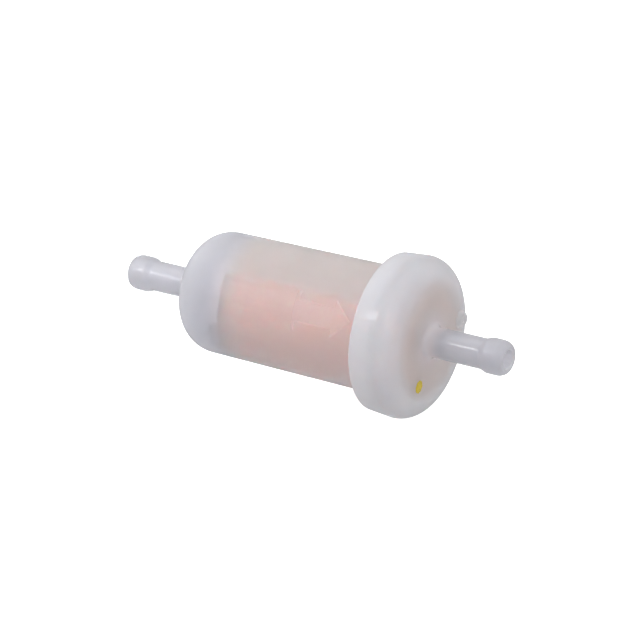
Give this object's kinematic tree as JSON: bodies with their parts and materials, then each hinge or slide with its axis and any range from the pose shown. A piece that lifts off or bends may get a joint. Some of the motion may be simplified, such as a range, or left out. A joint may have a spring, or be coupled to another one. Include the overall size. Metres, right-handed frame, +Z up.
{
  "type": "inline fuel filter",
  "caption": "Inline fuel filter with a translucent moulded case, a larger welded cap, a pleated paper element inside and a hose nipple at each end.",
  "frame": {"origin": "centre of the filter's overall length, on its axis", "axes": "+X along the axis from the inlet to the outlet, +Z up, the flow arrow facing the -Y side and up"},
  "size_m": [0.1138, 0.0426, 0.0427],
  "materials": {
    "case_nylon": "natural translucent nylon, softly glossy",
    "cap_nylon": "natural milky nylon, softly glossy",
    "weld_nylon": "re-frozen nylon",
    "filter_paper": "resin-treated filter paper",
    "adhesive": "cured adhesive",
    "core_nylon": "moulded nylon",
    "end_plate": "resin-treated board",
    "paint": "dabbed inspection paint"
  },
  "bodies": {
    "root": {"inlet_case": "case_nylon", "outlet_cap": "cap_nylon", "weld_bead": "weld_nylon", "filter_paper": "filter_paper", "paper_seam": "adhesive", "core_tube": "core_nylon", "closed_end_plate": "core_nylon", "open_end_plate": "end_plate", "closed_end_adhesive": "adhesive", "open_end_adhesive": "adhesive", "paint_mark": "paint"}
  },
  "joints": []
}
